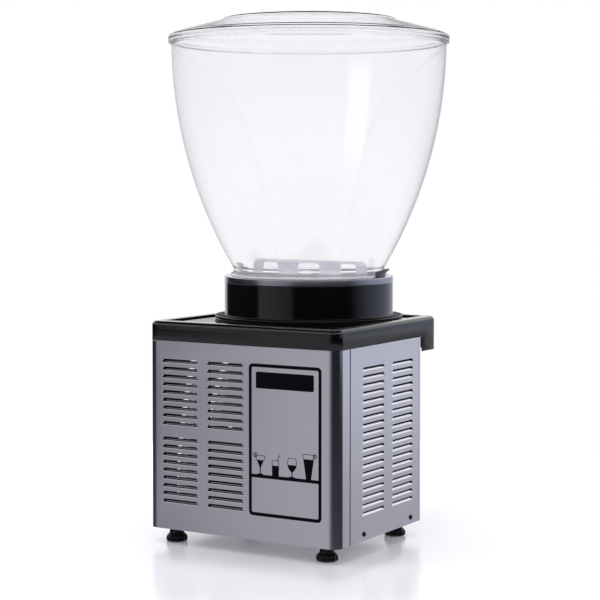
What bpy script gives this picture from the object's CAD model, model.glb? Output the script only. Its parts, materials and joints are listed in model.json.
import json
import math

import bpy
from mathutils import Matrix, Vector

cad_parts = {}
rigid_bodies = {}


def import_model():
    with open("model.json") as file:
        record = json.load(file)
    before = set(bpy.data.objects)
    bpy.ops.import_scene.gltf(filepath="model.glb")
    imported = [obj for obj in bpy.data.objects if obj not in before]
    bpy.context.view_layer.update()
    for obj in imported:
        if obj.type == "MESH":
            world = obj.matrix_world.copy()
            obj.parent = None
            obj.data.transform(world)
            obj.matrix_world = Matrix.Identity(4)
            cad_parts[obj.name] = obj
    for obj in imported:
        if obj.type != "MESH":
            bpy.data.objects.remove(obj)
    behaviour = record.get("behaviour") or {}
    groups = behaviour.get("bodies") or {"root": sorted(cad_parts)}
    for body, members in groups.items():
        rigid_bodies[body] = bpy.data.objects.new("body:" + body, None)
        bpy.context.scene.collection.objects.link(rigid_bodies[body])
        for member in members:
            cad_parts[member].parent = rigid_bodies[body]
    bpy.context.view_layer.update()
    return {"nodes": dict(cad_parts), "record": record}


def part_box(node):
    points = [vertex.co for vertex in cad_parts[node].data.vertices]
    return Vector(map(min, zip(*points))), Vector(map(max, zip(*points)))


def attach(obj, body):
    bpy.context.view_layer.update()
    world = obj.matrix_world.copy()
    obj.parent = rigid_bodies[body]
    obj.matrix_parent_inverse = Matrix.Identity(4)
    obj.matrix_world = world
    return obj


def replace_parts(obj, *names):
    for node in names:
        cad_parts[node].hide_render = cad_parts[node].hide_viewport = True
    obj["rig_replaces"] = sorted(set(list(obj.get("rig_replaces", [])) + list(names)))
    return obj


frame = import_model()
mm = 0.001
print("frame loaded with", len(frame["nodes"]), "nodes")


# Selecting and drawing, as by hand

def deselectAll():
    if bpy.context.mode != "OBJECT":
        bpy.ops.object.mode_set(mode="OBJECT")
    bpy.ops.object.select_all(action="DESELECT")


def pick(piece):
    deselectAll()
    piece.select_set(True)
    bpy.context.view_layer.objects.active = piece


def drawLine(name, points):  # one vertex, extruded from point to point; stays in edit mode, all selected
    deselectAll()
    bpy.ops.mesh.primitive_plane_add(size=mm, location=(0, 0, 0))
    piece = bpy.context.object
    piece.name = piece.data.name = name
    bpy.ops.object.mode_set(mode="EDIT")
    bpy.ops.mesh.select_mode(type="VERT")
    bpy.ops.mesh.merge(type="CENTER")
    bpy.ops.transform.translate(value=points[0])
    for here, there in zip(points, points[1:]):
        bpy.ops.mesh.extrude_region_move(TRANSFORM_OT_translate={"value": Vector(there) - Vector(here)})
    bpy.ops.mesh.select_all(action="SELECT")
    return piece


def closeUp():  # merges what meets and turns the faces outwards; ends in object mode
    bpy.ops.mesh.select_all(action="SELECT")
    bpy.ops.mesh.remove_doubles(threshold=0.01 * mm)
    bpy.ops.mesh.normals_make_consistent(inside=False)
    bpy.ops.object.mode_set(mode="OBJECT")


def smoothed(piece, angle=32):
    pick(piece)
    bpy.ops.object.shade_smooth_by_angle(angle=math.radians(angle))
    return piece


def turned(name, line, steps=144):  # spins a closed outline of (radius, height) about the upright axis
    piece = drawLine(name, [(r, 0, z) for r, z in line])
    bpy.ops.mesh.spin(steps=steps, angle=2 * math.pi, center=(0, 0, 0), axis=(0, 0, 1))
    closeUp()
    return smoothed(piece)


def plate(name, outline, push):  # fills a flat outline and extrudes it by a vector
    piece = drawLine(name, outline)
    bpy.ops.mesh.edge_face_add()
    bpy.ops.mesh.extrude_region_move(TRANSFORM_OT_translate={"value": push})
    closeUp()
    return piece


def applied(piece, kind, **settings):  # adds one modifier and applies it
    pick(piece)
    modifier = piece.modifiers.new(kind.title(), kind)
    for key, value in settings.items():
        setattr(modifier, key, value)
    bpy.ops.object.modifier_apply(modifier=modifier.name)
    return piece


def cutOut(piece, *cutters):
    for cutter in cutters:
        applied(piece, "BOOLEAN", operation="DIFFERENCE", solver="EXACT", object=cutter)
        bpy.data.objects.remove(cutter)
    return piece


def joined(*pieces):
    pick(pieces[0])
    for other in pieces[1:]:
        other.select_set(True)
    bpy.ops.object.join()
    return pieces[0]


def copied(piece, name, shift=(0, 0, 0), turn=0):  # a copy with its own mesh, turned about the upright axis
    pick(piece)
    bpy.ops.object.duplicate(linked=False)
    twin = bpy.context.object
    twin.name = twin.data.name = name
    twin.rotation_euler = (0, 0, math.radians(turn))
    twin.location = shift
    bpy.ops.object.transform_apply(location=True, rotation=True, scale=True)
    return twin


def box(name, low, high):
    (x0, y0, z0), (x1, y1, z1) = low, high
    return plate(name, [(x0, y0, z0), (x1, y0, z0), (x1, y1, z0), (x0, y1, z0)], (0, 0, z1 - z0))


def bevelled(piece, width, segments=3, angle=30):
    return applied(piece, "BEVEL", width=width, segments=segments, limit_method="ANGLE",
                   angle_limit=math.radians(angle), harden_normals=False)


def bent(corners, steps=6):  # rounds a closed outline: each corner is (a, b) or (a, b, radius)
    line = []
    for i, corner in enumerate(corners):
        here = Vector(corner[:2])
        if len(corner) == 2:
            line.append(here)
            continue
        before = (Vector(corners[i - 1][:2]) - here).normalized()
        after = (Vector(corners[(i + 1) % len(corners)][:2]) - here).normalized()
        half = before.angle(after) / 2
        middle = here + (before + after).normalized() * corner[2] / math.sin(half)
        spoke = here + before * corner[2] / math.tan(half) - middle
        turn = math.pi - 2 * half
        if before.x * after.y - before.y * after.x > 0:
            turn = -turn
        for k in range(steps + 1):
            a = turn * k / steps
            line.append(middle + Vector((spoke.x * math.cos(a) - spoke.y * math.sin(a),
                                         spoke.x * math.sin(a) + spoke.y * math.cos(a))))
    return line


def arc(middle, radius, start, end, steps):  # points on a circle, angles in degrees
    return [(middle[0] + radius * math.cos(math.radians(start + (end - start) * k / steps)),
             middle[1] + radius * math.sin(math.radians(start + (end - start) * k / steps)))
            for k in range(steps + 1)]


def dressed(node, angle=32, bevel=0):  # a merged, smooth copy of a CAD node that stands for it
    deselectAll()
    source = frame["nodes"][node]
    piece = bpy.data.objects.new(node + "_dressed", source.data.copy())
    bpy.context.scene.collection.objects.link(piece)
    pick(piece)
    bpy.ops.object.mode_set(mode="EDIT")
    bpy.ops.mesh.select_all(action="SELECT")
    bpy.ops.mesh.remove_doubles(threshold=0.005 * mm)
    bpy.ops.mesh.dissolve_limited(angle_limit=math.radians(0.5))
    bpy.ops.object.mode_set(mode="OBJECT")
    if bevel:
        bevelled(piece, bevel, 2)
    return smoothed(piece, angle)


def settle(piece, material, body, slot, *nodes):  # finish, body, record slot and the nodes it stands for
    piece.data.materials.clear()
    piece.data.materials.append(material)
    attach(piece, body)
    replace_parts(piece, *nodes)
    return piece


# Materials

def shade(colour):  # sRGB hex to linear
    parts = [int(colour[i:i + 2], 16) / 255 for i in (1, 3, 5)]
    return (*[c / 12.92 if c <= 0.04045 else ((c + 0.055) / 1.055) ** 2.4 for c in parts], 1.0)


def addNode(tree, kind, values=None, links=None, **settings):
    node = tree.nodes.new(kind)
    for key, value in settings.items():
        setattr(node, key, value)
    for socket, value in (values or {}).items():
        node.inputs[socket].default_value = value
    for socket, source in (links or {}).items():
        tree.links.new(source, node.inputs[socket])
    return node


def startMaterial(name, **values):
    material = bpy.data.materials.new(name)
    material.use_nodes = True
    tree = material.node_tree
    tree.nodes.clear()
    shader = addNode(tree, "ShaderNodeBsdfPrincipled")
    for socket, value in values.items():
        shader.inputs[socket.replace("_", " ")].default_value = value
    addNode(tree, "ShaderNodeOutputMaterial", links={"Surface": shader.outputs["BSDF"]})
    return material, tree, shader


def spread(tree, source, socket, low, high):  # maps a 0 to 1 pattern to a range on a shader socket
    ranged = addNode(tree, "ShaderNodeMapRange", {"To Min": low, "To Max": high}, {"Value": source})
    tree.links.new(ranged.outputs["Result"], socket)


def grain(tree, size, detail=3, stretch=(1, 1, 1)):  # noise whose blotches measure size in millimetres
    place = addNode(tree, "ShaderNodeTexCoord").outputs["Object"]
    if stretch != (1, 1, 1):
        place = addNode(tree, "ShaderNodeMapping", {"Scale": stretch}, {"Vector": place}).outputs["Vector"]
    return addNode(tree, "ShaderNodeTexNoise", {"Scale": 1 / (size * mm), "Detail": detail, "Roughness": 0.55},
                   {"Vector": place}).outputs["Fac"]


def tinted(tree, source, shader, dark, light):  # colour that drifts between two shades
    ramp = addNode(tree, "ShaderNodeMix", data_type="RGBA", links={"Factor": source})
    ramp.inputs["A"].default_value = shade(dark)
    ramp.inputs["B"].default_value = shade(light)
    tree.links.new(ramp.outputs["Result"], shader.inputs["Base Color"])


def bumpy(tree, source, shader, strength, depth):  # depth in millimetres
    bump = addNode(tree, "ShaderNodeBump", {"Strength": strength, "Distance": depth * mm}, {"Height": source})
    tree.links.new(bump.outputs["Normal"], shader.inputs["Normal"])


def moulded(name, dark, light, low, high, size, depth, **values):  # a moulded or cast surface
    material, tree, shader = startMaterial(name, **values)
    cloud = grain(tree, 60, 2)
    tinted(tree, cloud, shader, dark, light)
    spread(tree, cloud, shader.inputs["Roughness"], low, high)
    bumpy(tree, grain(tree, size), shader, 0.25, depth)
    return material


def brushedStainless():  # cold rolled sheet, brushed along its length: soft long streaks, cool grey
    material, tree, shader = startMaterial("brushedStainless", Metallic=1.0)
    streak = grain(tree, 2.5, 4, (0.02, 0.02, 1))  # real grain is 0.1 mm, drawn coarser so that it shows
    cloud = grain(tree, 140, 2)
    tinted(tree, cloud, shader, "#c3c2c6", "#cdccd0")
    spread(tree, streak, shader.inputs["Roughness"], 0.11, 0.17)
    bumpy(tree, streak, shader, 0.04, 0.03)
    return material


def polishedStainless():  # drawn dish, polished: clear reflections with a faint draw texture
    material, tree, shader = startMaterial("polishedStainless", Metallic=1.0)
    ring = grain(tree, 1.5, 3, (1, 1, 3))
    tinted(tree, grain(tree, 50, 2), shader, "#929199", "#a3a2aa")
    spread(tree, ring, shader.inputs["Roughness"], 0.20, 0.27)
    return material


def clearPlastic(name, ior):  # injection moulded, clear and colourless, with a soft ripple; lamps shine through it
    material, tree, shader = startMaterial(name, Transmission_Weight=1.0, IOR=ior, Roughness=0.0)
    ripple = grain(tree, 35, 2)
    tinted(tree, ripple, shader, "#fafbfd", "#fdfdfe")
    bumpy(tree, ripple, shader, 0.03, 0.2)
    ray = addNode(tree, "ShaderNodeLightPath")
    through = addNode(tree, "ShaderNodeBsdfTransparent", {"Color": shade("#fdfdfe")})
    both = addNode(tree, "ShaderNodeMixShader", links={
        "Fac": ray.outputs["Is Shadow Ray"], 1: shader.outputs["BSDF"], 2: through.outputs["BSDF"]})
    output = next(n for n in tree.nodes if n.type == "OUTPUT_MATERIAL")
    tree.links.new(both.outputs["Shader"], output.inputs["Surface"])
    return material


glossBlack = moulded("glossBlackAbs", "#08080a", "#0d0d10", 0.05, 0.10, 9, 0.015, IOR=1.5)
mattBlack = moulded("mattBlackAbs", "#0e0e10", "#151517", 0.42, 0.55, 0.8, 0.05, IOR=1.5, Specular_IOR_Level=0.2)
footNylon = moulded("blackNylon", "#050506", "#090909", 0.20, 0.30, 1.2, 0.04, IOR=1.5, Specular_IOR_Level=0.25)
flangeBlack = moulded("mattBlackFlange", "#060607", "#0a0a0b", 0.45, 0.55, 1.0, 0.03, IOR=1.5, Specular_IOR_Level=0.03)
paddleGrey = moulded("greyAcetal", "#e3e2eb", "#ebeaf2", 0.34, 0.45, 1.5, 0.03, IOR=1.48)
clipGrey = moulded("slateNylon", "#4c4b55", "#5a5963", 0.38, 0.48, 1.2, 0.04, IOR=1.5)
whitePlastic = moulded("whiteAcetal", "#d6d6d2", "#e0e0dc", 0.35, 0.45, 1.5, 0.03, IOR=1.48)
sealRubber = moulded("siliconeRubber", "#d6d7d6", "#e2e2e0", 0.50, 0.62, 1.0, 0.04, IOR=1.41)
darkRubber = moulded("nitrileRubber", "#161617", "#202022", 0.60, 0.75, 1.0, 0.06, IOR=1.5)
printInk = moulded("screenInk", "#04040a", "#07070e", 0.50, 0.60, 0.8, 0.01, IOR=1.5, Specular_IOR_Level=0.06)
blackPaint = moulded("blackEnamel", "#121214", "#1a1a1c", 0.28, 0.38, 3, 0.04, IOR=1.5)
foam = moulded("polyurethaneFoam", "#d8cb98", "#e8dcae", 0.85, 0.95, 4, 0.4, IOR=1.45)
rockerRed = moulded("redPolycarbonate", "#6e1616", "#831d1c", 0.15, 0.22, 2, 0.02, IOR=1.58)
frameSteel = moulded("zincSteel", "#8a8c92", "#9a9ca2", 0.35, 0.5, 6, 0.02, Metallic=1.0)
copperPipe = moulded("drawnCopper", "#a9673f", "#be7a52", 0.22, 0.36, 12, 0.02, Metallic=1.0)
finAluminium = moulded("aluminiumFoil", "#c2c5cb", "#d2d4d9", 0.25, 0.38, 5, 0.03, Metallic=1.0)
motorMetal = moulded("dieCastZinc", "#7d7f86", "#92949b", 0.40, 0.52, 1.5, 0.06, Metallic=1.0)
brushedSteel = brushedStainless()
polishedSteel = polishedStainless()
clearBowl = clearPlastic("clearPolycarbonate", 1.49)
clearLid = clearPlastic("clearPolypropylene", 1.2)  # thin cover, drawn with weaker mirror lines
finishes = {
    "cabinet_steel": brushedSteel, "frame_steel": frameSteel, "polished_steel": polishedSteel,
    "black_gloss": glossBlack, "black_matte": mattBlack, "clip_grey": clipGrey, "clear_plastic": clearBowl,
    "paddle_grey": paddleGrey, "white_plastic": whitePlastic, "seal_rubber": sealRubber, "dark_rubber": darkRubber,
    "copper_pipe": copperPipe, "fin_aluminium": finAluminium, "black_paint": blackPaint,
    "motor_metal": motorMetal, "foam": foam, "rocker_red": rockerRed,
}
print("materials made:", len(bpy.data.materials))


# Camera, at the photograph's angle

cameraView = dict(place=(-1.6483, 2.752, 0.6666), yaw=31.217, pitch=2.477, lens=102.34, shift=-0.08)


def aimCamera():
    deselectAll()
    bpy.ops.object.camera_add(location=cameraView["place"])
    camera = bpy.context.object
    camera.rotation_euler = (math.radians(90 - cameraView["pitch"]), 0, math.radians(180 + cameraView["yaw"]))
    camera.data.lens = cameraView["lens"]
    camera.data.sensor_width = 36
    camera.data.shift_y = cameraView["shift"]
    bpy.context.scene.camera = camera


aimCamera()


# Studio: white behind the object, with grey and dark curtains round the camera that only shiny surfaces show

studio = dict(fill=0.56, inside=1.5, floorRadius=1.15, nearLift=0.11, farLift=0.42, liftStart=0.45, liftEnd=0.90)
drumCurtains = [  # place round the room, from 0 at -X by way of -Y to 1, and what hangs there at the drum's height
    (0.00, "#2c2d36"), (0.03, "#868ba2"), (0.09, "#cdd3ec"), (0.27, "#dfe4f6"), (0.30, "#ffffff"), (0.41, "#ffffff"),
    (0.435, "#22222a"), (0.63, "#22222a"), (0.645, "#c3c1ca"), (0.76, "#9a98a2"), (0.785, "#16161c"),
    (0.985, "#16161c"), (1.00, "#2c2d36"),
]
panelCurtains = [  # the same room lower down, as the cabinet panels show it
    (0.00, "#16161c"), (0.13, "#16161c"), (0.155, "#e4e8f8"), (0.27, "#e8ecf8"), (0.30, "#ffffff"), (0.41, "#ffffff"),
    (0.435, "#22222a"), (0.625, "#3a3a42"), (0.645, "#7e7c86"), (0.668, "#d2cfd9"), (0.70, "#b4b1bb"),
    (0.76, "#4c4b54"), (0.82, "#16161c"),
]
floorCurtains = [  # and close to the floor
    (0.00, "#36363e"), (0.13, "#36363e"), (0.155, "#bebdc9"), (0.27, "#dfe3f2"), (0.30, "#ffffff"), (0.41, "#ffffff"),
    (0.435, "#22222a"), (0.61, "#5a5a62"), (0.645, "#a5a3ad"), (0.668, "#c8c5cf"), (0.70, "#b4b1bb"),
    (0.76, "#66656e"), (0.82, "#36363e"),
]
levels = dict(  # heights of a direction, from -1 straight down to 1 straight up, over which one part fades to another
    table=(-0.32, -0.23), panels=(-0.20, -0.10), drum=(-0.098, -0.088), overhead=(0.14, 0.24),
    lowSky=(-0.45, -0.12), farSky=(0.10, 0.25), highSky=(0.05, 0.30))
walls = dict(table="#c4c3cd", overhead="#2c2c33")  # what metal and black plastic show below and above the curtains
skies = dict(low="#fafafc", middle="#c8c9d1", far="#fafafc", high="#f2f2f6")  # what clear plastic shows
band = dict(low=0.16, high=0.62, soft=(0.06, 0.1), strength=1.35)  # bright strip of wall all round, above the curtains
farSide = dict(left=0.295, right=0.525, soft=(0.045, 0.045))  # the room behind the object, as the camera sees it
glint = dict(left=0.929, right=0.983, sideSoft=(0.008, 0.008), low=-0.45, high=-0.06, endSoft=(0.2, 0.05),
             strength=1.0)  # tall lamp that the bowl shows
lamps = {  # place, aim, size in metres, watts
    "overheadSoftbox": dict(place=(0.1, 0.3, 2.6), aim=(0, 0, 0.4), size=(2.4, 2.4), watts=24),
    "leftSoftbox": dict(place=(1.9, 1.9, 1.5), aim=(0, 0, 0.4), size=(1.2, 1.6), watts=14),
    "rightSoftbox": dict(place=(-2.4, -0.9, 1.3), aim=(0, 0, 0.4), size=(1.2, 1.6), watts=16),
}


def lightStudio():
    scene = bpy.context.scene
    scene.view_settings.view_transform = "Standard"
    world = bpy.data.worlds.new("studio")
    scene.world = world
    world.use_nodes = True
    tree = world.node_tree
    tree.nodes.clear()
    ray = addNode(tree, "ShaderNodeLightPath")
    place = addNode(tree, "ShaderNodeTexCoord").outputs["Generated"]
    height = addNode(tree, "ShaderNodeSeparateXYZ", links={"Vector": place}).outputs["Z"]
    around = addNode(tree, "ShaderNodeTexGradient", gradient_type="RADIAL", links={"Vector": place}).outputs["Fac"]

    def hang(stops):
        ramp = addNode(tree, "ShaderNodeValToRGB", links={"Fac": around})
        while len(ramp.color_ramp.elements) < len(stops):
            ramp.color_ramp.elements.new(0.5)
        for stop, (at, colour) in zip(ramp.color_ramp.elements, stops):
            stop.position = at
            stop.color = shade(colour)
        return ramp.outputs["Color"]

    def rise(source, low, high, start=0, end=1):  # soft step
        return addNode(tree, "ShaderNodeMapRange", {"From Min": low, "From Max": high, "To Min": start, "To Max": end},
                       {"Value": source}, interpolation_type="SMOOTHSTEP").outputs["Result"]

    def blend(amount, first, second):
        mix = addNode(tree, "ShaderNodeMix", data_type="RGBA", links={"Factor": amount})
        for socket, colour in (("A", first), ("B", second)):
            if isinstance(colour, str):
                mix.inputs[socket].default_value = shade(colour)
            else:
                tree.links.new(colour, mix.inputs[socket])
        return mix.outputs["Result"]

    def times(first, second):
        return addNode(tree, "ShaderNodeMath", operation="MULTIPLY", links={0: first, 1: second}).outputs["Value"]

    def between(source, low, high, soft):  # 1 from low to high, with soft edges
        return times(rise(source, low - soft[0], low + soft[0]), rise(source, high - soft[1], high + soft[1], 1, 0))

    hung = blend(rise(height, *levels["panels"]), hang(floorCurtains), hang(panelCurtains))
    hung = blend(rise(height, *levels["drum"]), hung, hang(drumCurtains))
    hung = blend(rise(height, *levels["overhead"]), hung, walls["overhead"])
    hung = blend(rise(height, *levels["table"]), walls["table"], hung)
    strip = between(height, band["low"], band["high"], band["soft"])
    behind = between(around, farSide["left"], farSide["right"], farSide["soft"])
    near = addNode(tree, "ShaderNodeMath", {0: 1.0}, {1: behind}, operation="SUBTRACT").outputs["Value"]
    sky = blend(rise(height, *levels["lowSky"]), skies["low"], skies["middle"])
    sky = blend(times(behind, rise(height, *levels["farSky"])), sky, skies["far"])
    sky = blend(rise(height, *levels["highSky"]), sky, skies["high"])
    across = between(around, glint["left"], glint["right"], glint["sideSoft"])
    tall = between(height, glint["low"], glint["high"], glint["endSoft"])
    fill = addNode(tree, "ShaderNodeBackground", {"Color": shade("#ffffff"), "Strength": studio["fill"]})

    def lit(colour, glow, strength):  # a painted wall with a white lamp in front of it
        wall = addNode(tree, "ShaderNodeBackground", {"Strength": 1.0}, {"Color": colour})
        watts = addNode(tree, "ShaderNodeMath", {1: strength}, {0: glow}, operation="MULTIPLY")
        lamp = addNode(tree, "ShaderNodeBackground", {"Color": shade("#ffffff")}, {"Strength": watts.outputs["Value"]})
        both = addNode(tree, "ShaderNodeAddShader", links={
            0: wall.outputs["Background"], 1: lamp.outputs["Background"]})
        return both.outputs["Shader"]

    room = lit(hung, strip, band["strength"])
    clear = lit(sky, times(across, tall), glint["strength"])
    white = addNode(tree, "ShaderNodeBackground", {"Color": shade("#ffffff"), "Strength": 1.0})
    mirror = addNode(tree, "ShaderNodeMixShader", links={
        "Fac": ray.outputs["Is Singular Ray"], 1: room, 2: clear})
    shiny = addNode(tree, "ShaderNodeMixShader", links={
        "Fac": ray.outputs["Is Glossy Ray"], 1: fill.outputs["Background"], 2: mirror.outputs["Shader"]})
    inside = addNode(tree, "ShaderNodeBackground", {"Color": shade("#ffffff"), "Strength": studio["inside"]})
    through = addNode(tree, "ShaderNodeMixShader", links={
        "Fac": times(ray.outputs["Glossy Depth"], near), 1: white.outputs["Background"], 2: clear})
    through = addNode(tree, "ShaderNodeMixShader", links={
        "Fac": ray.outputs["Diffuse Depth"], 1: through.outputs["Shader"], 2: inside.outputs["Background"]})
    passed = addNode(tree, "ShaderNodeMixShader", links={
        "Fac": ray.outputs["Is Transmission Ray"], 1: shiny.outputs["Shader"], 2: through.outputs["Shader"]})
    mixed = addNode(tree, "ShaderNodeMixShader", links={
        "Fac": ray.outputs["Is Camera Ray"], 1: passed.outputs["Shader"], 2: white.outputs["Background"]})
    addNode(tree, "ShaderNodeOutputWorld", links={"Surface": mixed.outputs["Shader"]})
    for name, lamp in lamps.items():
        deselectAll()
        bpy.ops.object.light_add(type="AREA", location=lamp["place"])
        light = bpy.context.object
        light.name = name
        light.data.shape = "RECTANGLE"
        light.data.size, light.data.size_y = lamp["size"]
        light.data.energy = lamp["watts"]
        aim = Vector(lamp["aim"]) - Vector(lamp["place"])
        light.rotation_euler = aim.to_track_quat("-Z", "Y").to_euler()
        light.visible_camera = light.visible_glossy = light.visible_transmission = False


def layFloor():
    deselectAll()
    bpy.ops.mesh.primitive_circle_add(vertices=96, radius=studio["floorRadius"], fill_type="NGON", location=(0, 0, 0))
    floor = bpy.context.object
    floor.name = floor.data.name = "floor"
    material, tree, shader = startMaterial("whiteAcrylicTable", Base_Color=shade("#ecebf4"), Roughness=0.2)
    ray = addNode(tree, "ShaderNodeLightPath")
    place = addNode(tree, "ShaderNodeTexCoord").outputs["Object"]
    away = addNode(tree, "ShaderNodeVectorMath", operation="LENGTH", links={0: place})
    lift = addNode(tree, "ShaderNodeMapRange", {
        "From Min": studio["liftStart"], "From Max": studio["liftEnd"], "To Min": studio["nearLift"],
        "To Max": studio["farLift"]}, {"Value": away.outputs["Value"]}, interpolation_type="SMOOTHSTEP")
    seen = addNode(tree, "ShaderNodeMath", operation="MULTIPLY", links={
        0: ray.outputs["Is Camera Ray"], 1: lift.outputs["Result"]})
    glow = addNode(tree, "ShaderNodeEmission", {"Color": shade("#ffffff")}, {"Strength": seen.outputs["Value"]})
    both = addNode(tree, "ShaderNodeAddShader", links={0: shader.outputs["BSDF"], 1: glow.outputs["Emission"]})
    output = next(n for n in tree.nodes if n.type == "OUTPUT_MATERIAL")
    tree.links.new(both.outputs["Shader"], output.inputs["Surface"])
    floor.data.materials.append(material)
    floor.visible_glossy = False


lightStudio()
layFloor()
print("studio set")


# Louvred cabinet

louvre = dict(length=80, sideLength=85, opening=7.2, slant=4.4, bend=42, bendRadius=1.2, pitch=14.2, rows=19, drop=32)
cabinet = dict(sheet=1.2, edge=0.3, smooth=15, rearCorner=19, frontCorner=6, rearColumns=(129, 31), sideMiddle=54,
               sideColumn=55, sideLower=4, screwMiddle=56, screwApart=88.5, screwRise=12, screwHole=2.55,
               glandHole=8.2, knobHole=5.5, housingTuck=1.8, cut=9.6)
rearLow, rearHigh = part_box("rear_panel")
frontLow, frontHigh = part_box("front_panel")


def rowHeights(skipMiddle, lower=0):
    top = rearHigh.z - (louvre["drop"] + louvre["opening"] + lower) * mm
    return [top - i * louvre["pitch"] * mm for i in range(louvre["rows"])
            if not (skipMiddle and i == louvre["rows"] // 2)]


def louvreFlap(length):  # one flap, bent inwards over a small radius along its lower edge, outer face at Y = 0
    half = length / 2 * mm
    radius = louvre["bendRadius"] * mm
    bend = math.radians(louvre["bend"])
    line = [(-radius + y, z) for y, z in arc((0, 0), radius, 0, louvre["bend"], 5)]
    straight = louvre["opening"] * mm - radius * bend
    line.append((line[-1][0] - straight * math.sin(bend), line[-1][1] + straight * math.cos(bend)))
    flap = drawLine("flap", [(-half, y, z) for y, z in line])
    bpy.ops.mesh.extrude_region_move(TRANSFORM_OT_translate={"value": (2 * half, 0, 0)})
    bpy.ops.object.mode_set(mode="OBJECT")
    for vertex in flap.data.vertices:
        vertex.co.x *= 1 - louvre["slant"] * mm / half * vertex.co.z / line[-1][1]
    flap.data.update()
    side = -1 if flap.data.polygons[0].normal.y > 0 else 1
    return applied(flap, "SOLIDIFY", thickness=cabinet["sheet"] * mm, offset=side)


def louvreHole(length):  # the opening that a flap is bent out of
    half = length / 2 * mm
    top = half - louvre["slant"] * mm
    deep = 4 * cabinet["sheet"] * mm
    high = louvre["opening"] * mm
    outline = [(-half, deep, 0), (half, deep, 0), (top, deep, high), (-top, deep, high)]
    return plate("hole", outline, (0, -2 * deep, 0))


def louvred(panel, length, columns, heights, place, turn):  # punches columns of louvres through a panel
    for start, use in ((louvreHole(length), cutOut), (louvreFlap(length), joined)):
        copies = [copied(start, "louvre", (x, 0, z)) for x in columns for z in heights]
        bpy.data.objects.remove(start)
        field = joined(*copies)
        pick(field)
        field.rotation_euler = (0, 0, math.radians(turn))
        field.location = place
        bpy.ops.object.transform_apply(location=True, rotation=True, scale=True)
        use(panel, field)
    return panel


def wrapSheet(name, back, ends, low, high, corner):  # sheet that wraps round two upright corners
    half, r, t = rearHigh.x, corner * mm, cabinet["sheet"] * mm
    inner = t if back > ends else -t
    corners = [(-half, ends), (-half, back, r), (half, back, r), (half, ends), (half - t, ends),
               (half - t, back - inner, r - t), (-half + t, back - inner, r - t), (-half + t, ends)]
    return plate(name, [(x, y, low) for x, y in bent(corners, 20)], (0, 0, high - low))


def drilled(panel, radius, steps, place, turn):  # a round hole through a panel
    deselectAll()
    bpy.ops.mesh.primitive_cylinder_add(vertices=steps, radius=radius * mm, depth=cabinet["cut"] * mm,
                                        location=place, rotation=turn)
    cutOut(panel, bpy.context.object)


def makeRearPanel():
    panel = wrapSheet("rear_sheet", rearHigh.y, rearLow.y, rearLow.z, rearHigh.z, cabinet["rearCorner"])
    columns = [x * mm for x in cabinet["rearColumns"]]
    louvred(panel, louvre["length"], columns, rowHeights(True), (0, rearHigh.y, 0), 0)
    smoothed(panel, cabinet["smooth"])
    settle(panel, brushedSteel, "cabinet", "cabinet_steel", "rear_panel")


def makeSidePanels():
    t = cabinet["sheet"] * mm
    middle = cabinet["sideMiddle"] * mm
    for side, node in ((-1, "left_side_panel"), (1, "right_side_panel")):
        low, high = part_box(node)
        outer = side * rearHigh.x
        inner = outer - side * t
        panel = box(node + "_sheet", (min(outer, inner), low.y, low.z), (max(outer, inner), high.y, high.z))
        bevelled(panel, cabinet["edge"] * mm, 2)
        sideways = (0, math.pi / 2, 0)
        for end in (-1, 1):
            y = cabinet["screwMiddle"] + end * cabinet["screwApart"]
            spot = (outer, y * mm, low.z + cabinet["screwRise"] * mm)
            drilled(panel, cabinet["screwHole"], 24, spot, sideways)
        if side > 0:
            glandLow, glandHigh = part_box("cable_gland")
            drilled(panel, cabinet["glandHole"], 32, (outer, *((glandLow + glandHigh) / 2).yz), sideways)
        columns = [s * cabinet["sideColumn"] * mm for s in (-1, 1)]
        heights = rowHeights(False, cabinet["sideLower"])
        louvred(panel, louvre["sideLength"], columns, heights, (outer, middle, 0), -90 * side)
        smoothed(panel, cabinet["smooth"])
        settle(panel, brushedSteel, "cabinet", "cabinet_steel", node)


def makeFrontPanel():
    tuck = Vector((cabinet["housingTuck"] * mm, 0, cabinet["housingTuck"] * mm))
    panel = wrapSheet("front_sheet", frontLow.y, frontHigh.y, frontLow.z, frontHigh.z, cabinet["frontCorner"])
    for node in ("switch_housing_left", "switch_housing_right"):
        low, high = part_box(node)
        cutOut(panel, box("hole", low + tuck - Vector((0, cabinet["cut"] * mm, 0)), high - tuck))
    low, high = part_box("thermostat_knob")
    middle = (low + high) / 2
    drilled(panel, cabinet["knobHole"], 32, (middle.x, frontLow.y, middle.z), (math.pi / 2, 0, 0))
    smoothed(panel, cabinet["smooth"])
    settle(panel, brushedSteel, "cabinet", "cabinet_steel", "front_panel")


makeRearPanel()
makeSidePanels()
makeFrontPanel()
print("cabinet panels made")


# Black tray with its round nose

tray = dict(wall=3, rim=22, rimHeight=6, edge=8, fillet=0.8, corner=19, leastCorner=4, shoulder=141, nose=200,
            noseTrim=4, noseLap=2, skirtGap=4.5, below=10, above=50, beyond=300)
trayLow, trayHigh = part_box("top_tray")
bodyTop = rearHigh.z


def trayOutline(inset):  # rear corners, straight sides, square shoulders, then the round nose about the bowl axis
    half = trayHigh.x - inset
    nose = tray["nose"] * mm - inset
    shoulder = tray["shoulder"] * mm - inset
    r = max(tray["corner"] * mm - inset, tray["leastCorner"] * mm)
    lap = tray["noseLap"] * mm
    reach = math.sqrt(nose * nose - shoulder * shoulder)
    start = math.degrees(math.atan2(-shoulder, reach)) - tray["noseTrim"]
    curve = arc((0, 0), nose, start, -180 - start, 48)
    corners = [(half, trayHigh.y - inset, r), (-half, trayHigh.y - inset, r), (-half, -shoulder, r),
               (-reach - lap, -shoulder), *[tuple(p) for p in reversed(curve)], (reach + lap, -shoulder),
               (half, -shoulder, r)]
    return bent(corners, 10)


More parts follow.
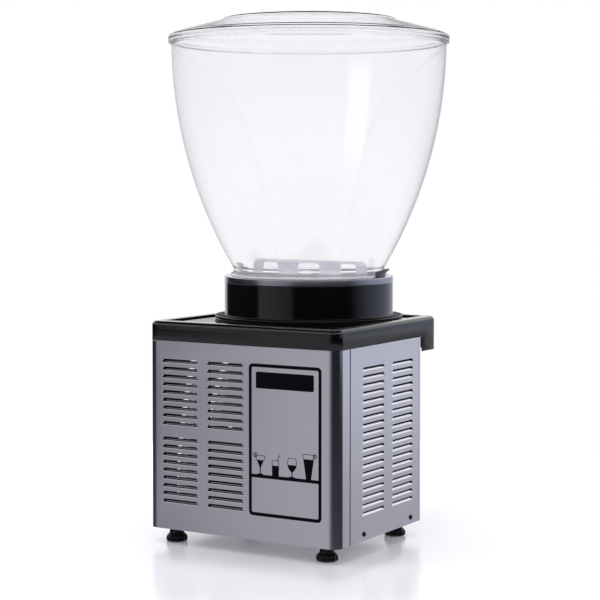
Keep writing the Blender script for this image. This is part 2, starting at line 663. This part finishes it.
def makeTray():
    wall = tray["wall"] * mm
    floorTop = trayHigh.z - tray["rimHeight"] * mm
    piece = plate("tray_shell", [(x, y, trayLow.z) for x, y in trayOutline(0)], (0, 0, trayHigh.z - trayLow.z))
    bpy.ops.object.mode_set(mode="EDIT")
    bpy.ops.mesh.select_all(action="DESELECT")
    bpy.ops.object.mode_set(mode="OBJECT")
    for edge in piece.data.edges:
        edge.select = all(piece.data.vertices[v].co.z > trayHigh.z - 1e-5 for v in edge.vertices)
    bpy.ops.object.mode_set(mode="EDIT")
    bpy.ops.mesh.select_mode(type="EDGE")
    bpy.ops.mesh.bevel(offset=tray["edge"] * mm, segments=7, profile=0.5)
    bpy.ops.object.mode_set(mode="OBJECT")
    under = plate("under", [(x, y, trayLow.z - wall) for x, y in trayOutline(wall)],
                  (0, 0, floorTop - trayLow.z))
    recess = plate("recess", [(x, y, floorTop) for x, y in trayOutline(tray["rim"] * mm)],
                   (0, 0, tray["above"] * mm))
    front = frontLow.y - tray["skirtGap"] * mm
    beyond = tray["beyond"] * mm
    behind = box("behind", (-beyond, front, trayLow.z - tray["below"] * mm), (beyond, beyond, bodyTop))
    cutOut(piece, behind, under, recess)
    bevelled(piece, tray["fillet"] * mm, 2, 50)
    smoothed(piece)
    settle(piece, glossBlack, "cabinet", "black_gloss", "top_tray")
    piece.visible_glossy = False  # keeps the bowl clear of its dark mirror image


makeTray()
print("tray made")


# Drum, chilled dish, bowl and lid

drum = dict(radius=158.5, wall=3, flange=176, flangeHeight=10, flangeSlope=1, flangeEdge=1.0, undercut=1,
            undercutHeight=4, lip=1)
dish = dict(band=12, sheet=1.5, ledge=11, depth=9, roll=2.5, step=3, wellSlope=6, wellLip=2, wellGap=0.5)
bowl = dict(neck=141.5, mouth=257, wall=3, collar=12, foot=4, footOverhang=4.5, lip=5.5, lipHeight=6)
lid = dict(wall=2.5, rim=10.9, edge=8, edgeDrop=4.5, disc=162, stepWidth=3, cone=24.3, plug=9, sink=2.5)


def scaled(corners):
    return [tuple(value * mm for value in corner) for corner in corners]


def makeDrum():
    low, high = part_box("drum")
    base, top = low.z / mm, high.z / mm
    inner = drum["radius"] - drum["wall"]
    shoulder = base + drum["flangeHeight"]
    foot = drum["flange"] - drum["undercut"]
    ridge = base + drum["undercutHeight"]
    corners = [(inner, base), (foot, base, 0.5), (foot, ridge, 0.5), (drum["flange"], ridge + drum["undercut"], 0.6),
               (drum["flange"], shoulder, drum["flangeEdge"]), (drum["radius"], shoulder + drum["flangeSlope"], 0.6),
               (drum["radius"], top, drum["lip"]), (inner, top)]
    line = bent(scaled(corners), 6)
    piece = turned("drum_shell", [*line, line[0]], 192)
    settle(piece, glossBlack, "cabinet", "black_gloss", "drum")
    piece.data.materials.append(flangeBlack)
    for face in piece.data.polygons:  # the foot flange is matt, with a glossy upper edge
        upright = abs(face.normal.z) < 0.1 and face.center.xy.length > (drum["radius"] + drum["flange"]) / 2 * mm
        if face.center.z < (shoulder + drum["flangeSlope"]) * mm and (face.normal.z > 0.97 or upright):
            face.material_index = 1


def makeDish():
    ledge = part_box("evaporator_dish")[1].z / mm
    r, t = drum["radius"], dish["sheet"]
    seat = r - dish["ledge"]
    wall = bowl["neck"] - bowl["wall"] - dish["wellGap"]
    floor = ledge - dish["depth"]
    well = wall - dish["wellSlope"]
    step = ledge - dish["step"]
    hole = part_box("shaft_bush")[1].x / mm
    corners = [(hole, floor), (well, floor, 3), (wall - dish["wellLip"], ledge, 1), (wall + 1, ledge),
               (wall + 1, step), (seat, step), (seat, ledge, 0.6), (r, ledge, dish["roll"]), (r, ledge - dish["band"]),
               (r - t, ledge - dish["band"]), (r - t, ledge - t, 1), (seat + t, ledge - t), (seat + t, step - t),
               (wall - 1, step - t), (well, floor - t, 3), (hole, floor - t)]
    line = bent(scaled(corners), 5)
    piece = turned("dish_shell", [*line, line[0]], 192)
    settle(piece, polishedSteel, "cabinet", "polished_steel", "evaporator_dish")


def makeGasket():
    low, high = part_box("bowl_gasket")
    outer = high.x / mm
    inner = bowl["neck"] - bowl["wall"] + 1.2
    corners = [(inner, low.z / mm), (outer, low.z / mm), (outer, high.z / mm, 0.8), (inner, high.z / mm, 0.8)]
    line = bent(scaled(corners), 4)
    piece = turned("gasket_ring", [*line, line[0]])
    settle(piece, sealRubber, "cabinet", "seal_rubber", "bowl_gasket")


def wallArc(inset, low, high, steps):  # the bowl's flaring wall, from the neck up to the mouth
    flare = bowl["mouth"] - bowl["neck"]
    tall = high - low
    radius = (tall * tall + flare * flare) / (2 * flare)
    lean = math.degrees(math.asin(tall / radius))
    return arc((bowl["mouth"] - radius, high), radius - inset, -lean, 0, steps)


def makeBowl():
    low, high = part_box("bowl")
    base, mouth = low.z / mm, high.z / mm
    neckTop = base + bowl["collar"]
    inner = bowl["neck"] - bowl["wall"]
    outside = wallArc(0, neckTop, mouth, 60)[:-1]
    inside = [p for p in wallArc(bowl["wall"], neckTop, mouth, 60)[:-1] if p[1] > neckTop]
    lip = bowl["mouth"] + bowl["lip"]
    under = mouth - bowl["lipHeight"]
    outside = [p for p in outside if p[1] < under - 2]
    overhang = bowl["neck"] + bowl["footOverhang"]
    footTop = base + bowl["foot"]
    corners = [(inner, base), (overhang, base, 0.8), (overhang, footTop, 0.8), (bowl["neck"], footTop, 1.5), *outside,
               (bowl["mouth"] - 0.1, under, 1), (lip, under, 1.8), (lip, mouth, 1.8),
               (bowl["mouth"] - bowl["wall"], mouth, 1), *reversed(inside), (inner, neckTop)]
    line = bent(scaled(corners), 5)
    piece = turned("bowl_shell", [*line, line[0]], 192)
    settle(piece, clearBowl, "bowl", "clear_plastic", "bowl")


def makeLid():
    low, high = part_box("lid")
    top = high.z / mm - lid["sink"]
    seat = low.z / mm + lid["plug"]
    rim = seat + lid["rim"]
    step = rim + lid["cone"]
    t = lid["wall"]
    edge = bowl["mouth"] + bowl["lip"]
    cone = edge - lid["edge"]
    plug = bowl["mouth"] - bowl["wall"] - 1
    foot = lid["disc"] + lid["stepWidth"]
    plugEnd = seat - lid["plug"]
    corners = [(0, top - t), (lid["disc"] - t, top - t, 0.6), (foot - t, step - t, 0.6), (cone - t / 2, rim - t, 3),
               (edge - t, rim - lid["edgeDrop"] - t / 2, 2), (edge - t, seat + t, 1), (plug - t, seat + t, 0.8),
               (plug - t, plugEnd, 0.8), (plug, plugEnd, 0.8), (plug, seat, 0.5), (edge, seat, 1.2),
               (edge, rim - lid["edgeDrop"], 3), (cone, rim, 4), (foot, step, 0.8), (lid["disc"], top, 1), (0, top)]
    line = bent(scaled(corners), 5)
    piece = turned("lid_shell", line, 192)
    settle(piece, clearLid, "lid", "clear_plastic", "lid")


makeDrum()
makeDish()
makeGasket()
makeBowl()
makeLid()
print("drum, dish, bowl and lid made")


# Mixer paddle and guide clips

paddle = dict(length=248, thick=2, rounding=12, windows=((-85, 33), (0, 46), (85, 33)), windowHeight=17,
              windowDrop=6, windowRounding=5, edge=0.35, tab=9, tabThick=2, tabEdge=0.5, hub=14, hubHeight=12,
              hubCap=2)
clip = dict(width=20, tall=10.7, gap=0.3, earReach=9, earRise=5.5, earThick=2.5, edge=0.5)


def makePaddle():
    low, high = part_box("mixer_paddle")
    bottom, top = low.z / mm, high.z / mm
    half, t = paddle["length"] / 2, paddle["thick"] / 2 * mm
    rounding = paddle["rounding"]
    corners = [(-half, bottom, 2), (half, bottom, 2), (half, top, rounding), (-half, top, rounding)]
    piece = plate("paddle_plate", [(x, t, z) for x, z in bent(scaled(corners), 10)], (0, -2 * t, 0))
    ledge = top - paddle["windowDrop"] - paddle["windowHeight"]
    r = paddle["windowRounding"]
    for x, width in paddle["windows"]:
        left, right, high = x - width / 2, x + width / 2, ledge + paddle["windowHeight"]
        hole = [(left, ledge, 1), (right, ledge, 1), (right, high, r), (left, high, r)]
        cutOut(piece, plate("window", [(a, 0.01, b) for a, b in bent(scaled(hole), 6)], (0, -0.02, 0)))
    bevelled(piece, paddle["edge"] * mm, 2, 50)
    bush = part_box("shaft_bush")[1].x / mm + 1
    hubTop = bottom + paddle["hubHeight"]
    capBottom = hubTop - paddle["hubCap"]
    corners = [(bush, bottom), (paddle["hub"], bottom, 1), (paddle["hub"], hubTop, 2.5), (0, hubTop), (0, capBottom),
               (bush, capBottom)]
    line = bent(scaled(corners), 5)
    parts = [turned("hub", [*line, line[0]], 48)]
    for x, width in paddle["windows"]:
        tab = box("tab", ((x - width / 2 + 1) * mm, 0, (ledge - paddle["tabThick"]) * mm),
                  ((x + width / 2 - 1) * mm, paddle["tab"] * mm, ledge * mm))
        parts.append(bevelled(tab, paddle["tabEdge"] * mm, 2))
    joined(piece, *parts)
    smoothed(piece)
    settle(piece, paddleGrey, "mixer", "paddle_grey", "mixer_paddle")


def makeClips():
    for turn, node in ((180, "clip_left"), (0, "clip_right")):
        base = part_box(node)[0].z / mm
        tall = base + clip["tall"]
        inner = drum["radius"] - dish["ledge"] + clip["gap"]
        outer = drum["radius"] - clip["gap"]
        ear, earTop = outer + clip["earReach"], tall + clip["earRise"]
        corners = [(inner, base), (outer, base), (outer, tall - 4, 1.5), (ear, earTop - clip["earThick"], 0.8),
                   (ear - 1, earTop, 0.8), (outer - 4, tall, 1.5), (inner, tall, 1)]
        half = clip["width"] / 2 * mm
        piece = plate("clip", [(x, half, z) for x, z in bent(scaled(corners), 5)], (0, -2 * half, 0))
        bevelled(piece, clip["edge"] * mm, 2, 50)
        whole = copied(piece, node + "_moulding", turn=turn)
        bpy.data.objects.remove(piece)
        smoothed(whole)
        settle(whole, clipGrey, "cabinet", "clip_grey", node)


makePaddle()
makeClips()
print("paddle and clips made")


# Levelling feet

foot = dict(radius=20, lobes=10, lobeDepth=2.2, lobeTop=13, baseHeight=9, sole=17, soleRise=2.5, neck=12,
            neckFlare=1.5, neckRise=7, topGap=0.3, stud=5)


def makeFeet():
    for end in ("rear", "front"):
        for side in ("left", "right"):
            name = "foot_" + end + "_" + side
            low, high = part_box(name)
            middle = (low + high) / 2
            top, tall = rearLow.z / mm - foot["topGap"], high.z / mm
            flare, flareTop = foot["neck"] + foot["neckFlare"], foot["baseHeight"] + foot["neckRise"]
            corners = [(0, 0), (foot["sole"], 0, 1), (foot["radius"], foot["soleRise"], 1.5),
                       (foot["radius"], foot["baseHeight"], 3.5), (flare, flareTop, 4), (foot["neck"], top, 0.6),
                       (foot["stud"], top), (foot["stud"], tall), (0, tall)]
            piece = turned("foot", bent(scaled(corners), 6), 120)
            for vertex in piece.data.vertices:
                reach = math.hypot(vertex.co.x, vertex.co.y)
                grip = min(1, max(0, (reach / mm - foot["neck"]) / (foot["radius"] - foot["neck"])))
                if grip and vertex.co.z / mm < foot["lobeTop"]:
                    wave = abs(math.sin(math.atan2(vertex.co.y, vertex.co.x) * foot["lobes"] / 2))
                    dent = 1 - foot["lobeDepth"] * mm * grip * (1 - wave) ** 1.5 / reach
                    vertex.co.x *= dent
                    vertex.co.y *= dent
            whole = copied(piece, name + "_moulding", (middle.x, middle.y, 0))
            bpy.data.objects.remove(piece)
            smoothed(whole, 45)
            settle(whole, footNylon, name, "black_matte", name)


makeFeet()
print("feet made")


# Print on the rear panel: a frame with a bare plate and a shelf of plain drinking glasses

printed = dict(proud=0.15, left=-19.2, right=-168, bottom=72, top=341.3, line=6, rounding=8, shelf=142.7,
               plateLeft=-34, plateRight=-152.7, plateBottom=298, plateTop=327.2, plateRounding=3,
               glasses=((-43, 1.15), (-74.5, 1.05), (-108.5, 1.12), (-142, 1.1)))


def inkShape(outline):  # a flat outline of (x, z) in millimetres, printed on the rear panel
    face = rearHigh.y
    return plate("ink", [(x * mm, face, z * mm) for x, z in outline], (0, printed["proud"] * mm, 0))


def inkRect(x0, x1, z0, z1, r):
    return bent([(x0, z0, r), (x1, z0, r), (x1, z1, r), (x0, z1, r)], 6)


def stroke(start, end, wide=0.9):  # a straight ink line
    across = (Vector(end) - Vector(start)).normalized().orthogonal() * wide / 2
    return [Vector(start) + across, Vector(end) + across, Vector(end) - across, Vector(start) - across]


def fruitSlice(middle, radius):  # a round slice of fruit on the rim
    ring = arc(middle, radius, 0, 360, 12)
    spokes = [stroke(middle, ring[k], 0.6) for k in range(0, 12, 3)]
    return [*[stroke(here, there) for here, there in zip(ring, ring[1:])], *spokes]


def glassOf(fill, rim, *extra):  # a filled outline, mirrored about the glass's middle, with an open rim above
    outline = fill + [(-x, z) for x, z in reversed(fill) if x]
    lines = []
    for start, end in zip(rim, rim[1:]):
        lines.append(stroke(start, end))
        lines.append(stroke((-start[0], start[1]), (-end[0], end[1])))
    lines.append(stroke((-rim[-1][0], rim[-1][1]), rim[-1]))
    return [outline, *lines, *extra]


cocktailGlass = glassOf([(5.2, 0), (5.2, 1.4), (0.9, 1.8), (0.9, 11), (6.3, 22.5)], [(6.0, 22.0), (8.6, 29.5)],
                        *fruitSlice((-9, 30), 3.4))
tumbler = glassOf([(6.5, 0), (6.8, 17.5)], [(6.4, 17), (6.8, 26)], stroke((3.4, 25.5), (8.2, 36), 1.2))
wineGlass = glassOf([(5.4, 0), (5.4, 1.4), (0.9, 1.8), (0.9, 8.5), (3.4, 10.6), (6.8, 15), (8.2, 20)],
                    [(7.8, 19.5), (8.2, 25), (6.6, 30.5)])
tallGlass = glassOf([(4.6, 0), (9.6, 32)], [(9.2, 31.5), (10.8, 39.5)], *fruitSlice((11.4, 37), 3.4))


def makePrint():
    p = printed
    x0, x1 = p["right"], p["left"]
    border = inkShape(inkRect(x0, x1, p["bottom"], p["top"], p["rounding"]))
    inset = p["line"]
    opening = inkRect(x0 + inset, x1 - inset, p["bottom"] + inset, p["top"] - inset, p["rounding"] - inset + 1)
    cutOut(border, plate("opening", [(x * mm, rearHigh.y - 0.01, z * mm) for x, z in opening], (0, 0.02, 0)))
    shapes = [border]
    shapes.append(inkShape([(x0 + inset - 1, p["shelf"] - inset / 2), (x1 - inset + 1, p["shelf"] - inset / 2),
                            (x1 - inset + 1, p["shelf"] + inset / 2), (x0 + inset - 1, p["shelf"] + inset / 2)]))
    shapes.append(inkShape(inkRect(p["plateRight"], p["plateLeft"], p["plateBottom"], p["plateTop"],
                                   p["plateRounding"])))
    stand = p["shelf"] + inset / 2 - 0.3
    for (middle, size), glass in zip(p["glasses"], (cocktailGlass, tumbler, wineGlass, tallGlass)):
        for outline in glass:
            shapes.append(inkShape([(middle - x * size, stand + z * size) for x, z in outline]))
    piece = joined(*shapes)
    piece.name = piece.data.name = "rear_print"
    settle(piece, printInk, "cabinet", "black_matte")


makePrint()
print("print made")


# Every other node keeps its CAD shape: smooth copies outside, a better finish inside

restEdge = dict(angle=35, bevel=0.3)
smoothNodes = ["screw_left_rear", "screw_left_front", "screw_right_rear", "screw_right_front", "tap_body", "tap_lever",
               "tap_plunger", "tap_pin", "tap_seal", "drip_tray", "drip_grid", "drip_rails", "switch_housing_left",
               "switch_housing_right", "rocker_left", "rocker_right", "thermostat_knob", "cable_gland", "base_pan"]
shown = {node for piece in bpy.data.objects for node in piece.get("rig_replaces", [])}
bodyOf = {node: body for body, nodes in frame["record"]["behaviour"]["bodies"].items() for node in nodes}
for node, source in frame["nodes"].items():
    if node in shown:
        continue
    slotName = source.material_slots[0].material.name.split(".")[0] if source.material_slots else None
    finish = finishes.get(slotName, mattBlack)
    if node in smoothNodes:
        settle(dressed(node, restEdge["angle"], restEdge["bevel"] * mm), finish, bodyOf[node], slotName, node)
    else:
        for slot in source.material_slots:
            slot.material = finish
print("finishes given to the rest")
